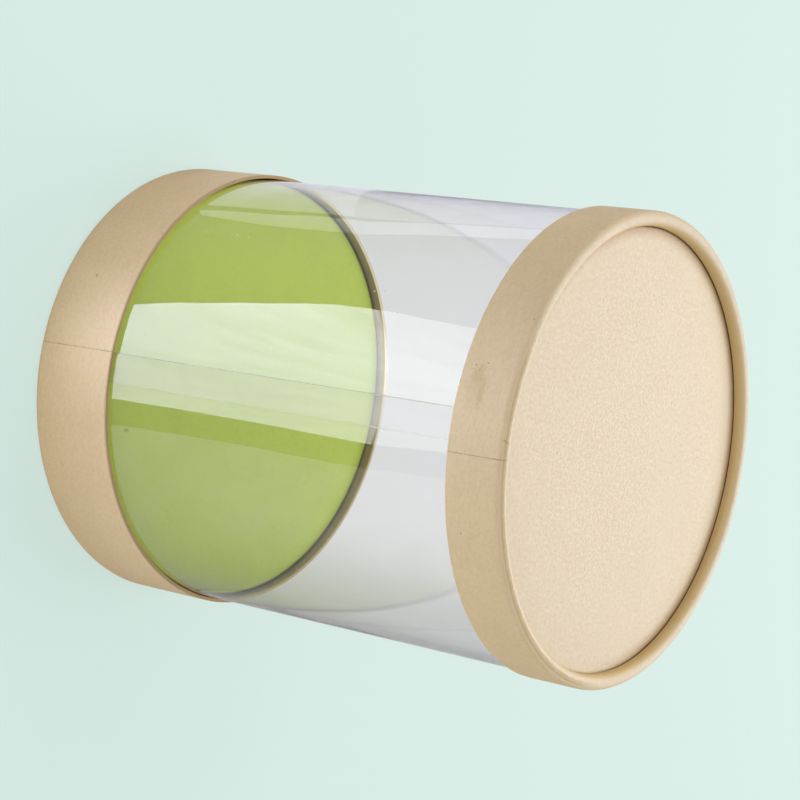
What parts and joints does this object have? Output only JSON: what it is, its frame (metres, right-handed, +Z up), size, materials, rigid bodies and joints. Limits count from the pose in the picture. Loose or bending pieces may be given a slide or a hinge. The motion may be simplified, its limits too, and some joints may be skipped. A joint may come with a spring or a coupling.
{
  "type": "cylindrical gift box",
  "caption": "Round gift box: clear rolled film wall, kraft paper base with a raised green floor, and a matching lift-off lid.",
  "frame": {"origin": "centre of the base's rolled rim, in the plane where it stands on the table", "axes": "+Z up along the clear wall from the base to the lid; the film's outer lap edge and the base's paper seam face -Y"},
  "size_m": [0.15, 0.15, 0.186],
  "materials": {
    "kraft_paper": "matte",
    "kraft_board": "matte",
    "green_paper": "matte",
    "clear_film": "gloss",
    "clear_adhesive": "gloss"
  },
  "bodies": {
    "base": {"film_wall": "clear_film", "film_lap_adhesive": "clear_adhesive", "base_shell": "kraft_board", "base_cover_paper": "kraft_paper", "base_end_paper": "kraft_paper", "base_end_board": "kraft_board", "base_floor_ring": "kraft_board", "base_floor_board": "kraft_board", "base_floor_cover": "green_paper"},
    "lid": {"lid_shell": "kraft_board", "lid_cover_paper": "kraft_paper", "lid_end_paper": "kraft_paper", "lid_end_board": "kraft_board", "lid_liner_paper": "green_paper", "lid_inner_ring": "kraft_board"}
  },
  "joints": [
    {"name": "lid_lift", "type": "slide", "parent": "base", "child": "lid", "axis": [0, 0, 1], "range_m": [0, 0.04]}
  ]
}
